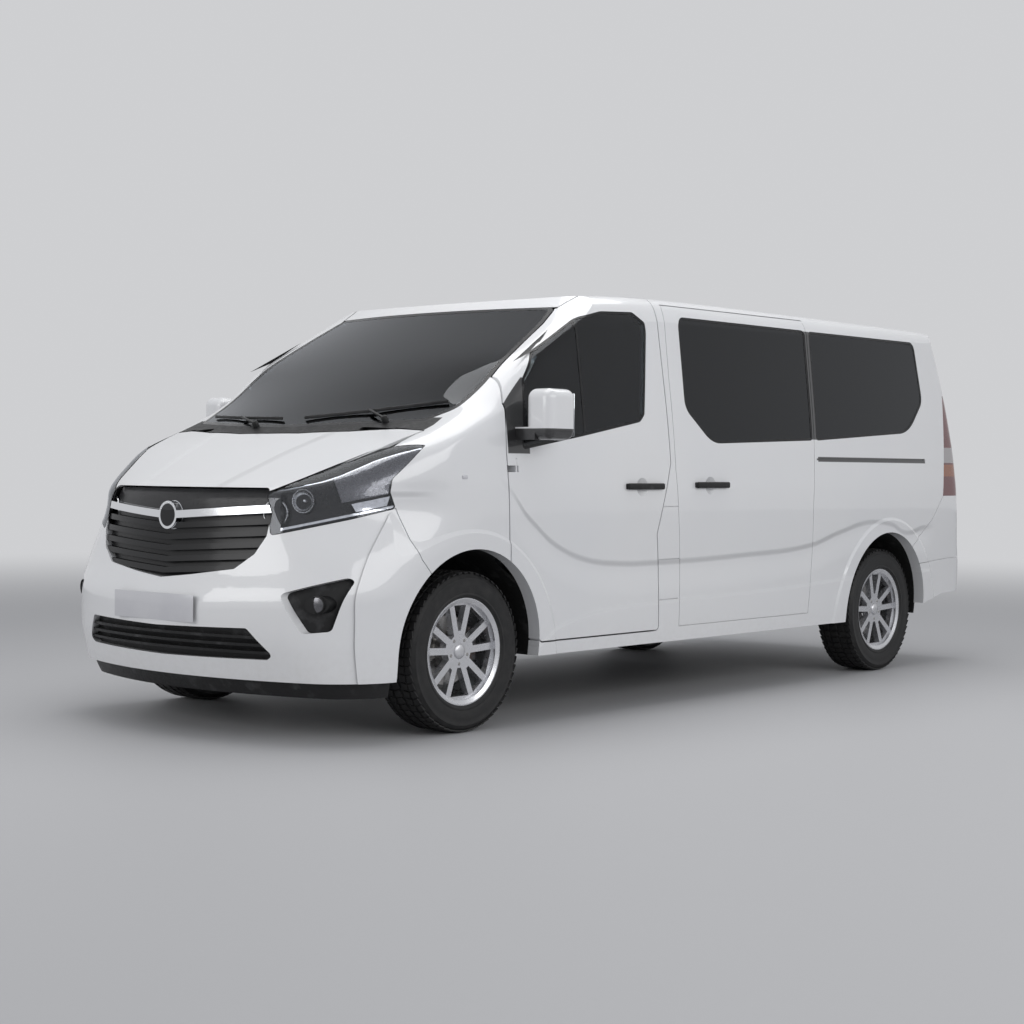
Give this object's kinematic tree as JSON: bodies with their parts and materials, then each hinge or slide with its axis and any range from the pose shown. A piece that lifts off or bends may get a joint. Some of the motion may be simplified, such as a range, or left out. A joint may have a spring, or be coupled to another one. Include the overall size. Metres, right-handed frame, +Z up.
{
  "type": "minibus",
  "caption": "Long low-roof passenger minibus with a sloping nose, side windows, sliding side doors, a top-hinged tailgate and alloy road wheels.",
  "frame": {"origin": "middle of the vehicle's bounding box, on the ground", "axes": "+X to the front, +Y to the left side, +Z up"},
  "size_m": [5.404, 2.282, 1.973],
  "materials": {
    "body_paint": "glossy",
    "black_plastic": "satin",
    "black_gloss": "glossy",
    "lamp_glass": "glossy",
    "tail_lens": "glossy",
    "window_glass": "glossy",
    "privacy_glass": "glossy",
    "tyre_rubber": "matte",
    "alloy": "satin",
    "steel": "satin",
    "cast_iron": "matte",
    "seat_fabric": "matte",
    "cabin_plastic": "matte"
  },
  "bodies": {
    "root": {"side_panel_left": "body_paint", "side_panel_right": "body_paint", "sliding_door_left": "body_paint", "sliding_door_right": "body_paint", "front_wing_left": "body_paint", "front_wing_right": "body_paint", "roof_panel": "body_paint", "front_bumper": "body_paint", "rear_bumper": "body_paint", "cowl_panel": "black_plastic", "headlamps": "lamp_glass", "tail_lamps": "tail_lens", "windscreen": "window_glass", "side_glass": "privacy_glass", "upper_grille": "black_gloss", "lower_grille": "black_plastic", "fog_pockets": "black_plastic", "front_valance": "black_plastic", "front_subframe": "steel", "front_struts": "steel", "rear_axle": "steel", "engine_block": "cast_iron", "floor_pan": "steel", "wheel_housings": "black_plastic", "dashboard": "cabin_plastic", "driver_seat": "seat_fabric", "passenger_seat": "seat_fabric", "middle_bench": "seat_fabric", "rear_bench": "seat_fabric", "fuel_tank": "black_plastic", "exhaust": "steel", "door_hinges": "steel", "tailgate_hinges": "steel", "bonnet_hinges": "steel"},
    "front_door_left": {"front_door_left": "body_paint", "door_glass_left": "window_glass", "door_mirror_left": "body_paint"},
    "front_door_right": {"front_door_right": "body_paint", "door_glass_right": "window_glass", "door_mirror_right": "body_paint"},
    "bonnet": {"bonnet": "body_paint"},
    "tailgate": {"tailgate": "body_paint", "tailgate_glass": "privacy_glass"},
    "steering_wheel": {"steering_wheel": "cabin_plastic"},
    "knuckle_left": {"knuckle_left": "cast_iron"},
    "knuckle_right": {"knuckle_right": "cast_iron"},
    "wheel_front_left": {"tyre_front_left": "tyre_rubber", "rim_front_left": "alloy"},
    "wheel_front_right": {"tyre_front_right": "tyre_rubber", "rim_front_right": "alloy"},
    "wheel_rear_left": {"tyre_rear_left": "tyre_rubber", "rim_rear_left": "alloy"},
    "wheel_rear_right": {"tyre_rear_right": "tyre_rubber", "rim_rear_right": "alloy"}
  },
  "joints": [
    {"name": "front_door_left", "type": "hinge", "parent": "root", "child": "front_door_left", "pos_m": [1.49762, 0.954, 1.08405], "axis": [0, 0, -1], "range_deg": [0, 68]},
    {"name": "front_door_right", "type": "hinge", "parent": "root", "child": "front_door_right", "pos_m": [1.49762, -0.954, 1.08405], "axis": [0, 0, 1], "range_deg": [0, 68]},
    {"name": "bonnet", "type": "hinge", "parent": "root", "child": "bonnet", "pos_m": [1.9671, 0, 1.26352], "axis": [0, -1, 0], "range_deg": [0, 55]},
    {"name": "tailgate", "type": "hinge", "parent": "root", "child": "tailgate", "pos_m": [-2.48351, 0, 1.8241], "axis": [0, 1, 0], "range_deg": [0, 85]},
    {"name": "steer_left", "type": "hinge", "parent": "root", "child": "knuckle_left", "pos_m": [1.7665, 0.66, 0.345], "axis": [0, 0, 1], "range_deg": [-33, 33]},
    {"name": "steer_right", "type": "hinge", "parent": "root", "child": "knuckle_right", "pos_m": [1.7665, -0.66, 0.345], "axis": [0, 0, 1], "range_deg": [-33, 33]},
    {"name": "steering_wheel", "type": "hinge", "parent": "root", "child": "steering_wheel", "pos_m": [1.21731, -0.42, 1.32451], "axis": [-0.788, 0, 0.6157], "range_deg": [-528, 528]},
    {"name": "spin_front_left", "type": "hinge", "parent": "knuckle_left", "child": "wheel_front_left", "pos_m": [1.7665, 0.81, 0.345], "axis": [0, 1, 0], "continuous": true},
    {"name": "spin_front_right", "type": "hinge", "parent": "knuckle_right", "child": "wheel_front_right", "pos_m": [1.7665, -0.81, 0.345], "axis": [0, 1, 0], "continuous": true},
    {"name": "spin_rear_left", "type": "hinge", "parent": "root", "child": "wheel_rear_left", "pos_m": [-1.7315, 0.81, 0.345], "axis": [0, 1, 0], "continuous": true},
    {"name": "spin_rear_right", "type": "hinge", "parent": "root", "child": "wheel_rear_right", "pos_m": [-1.7315, -0.81, 0.345], "axis": [0, 1, 0], "continuous": true}
  ],
  "couplings": [
    {"joint": "steer_right", "follows": "steer_left", "ratio": 1},
    {"joint": "steering_wheel", "follows": "steer_left", "ratio": 16}
  ]
}
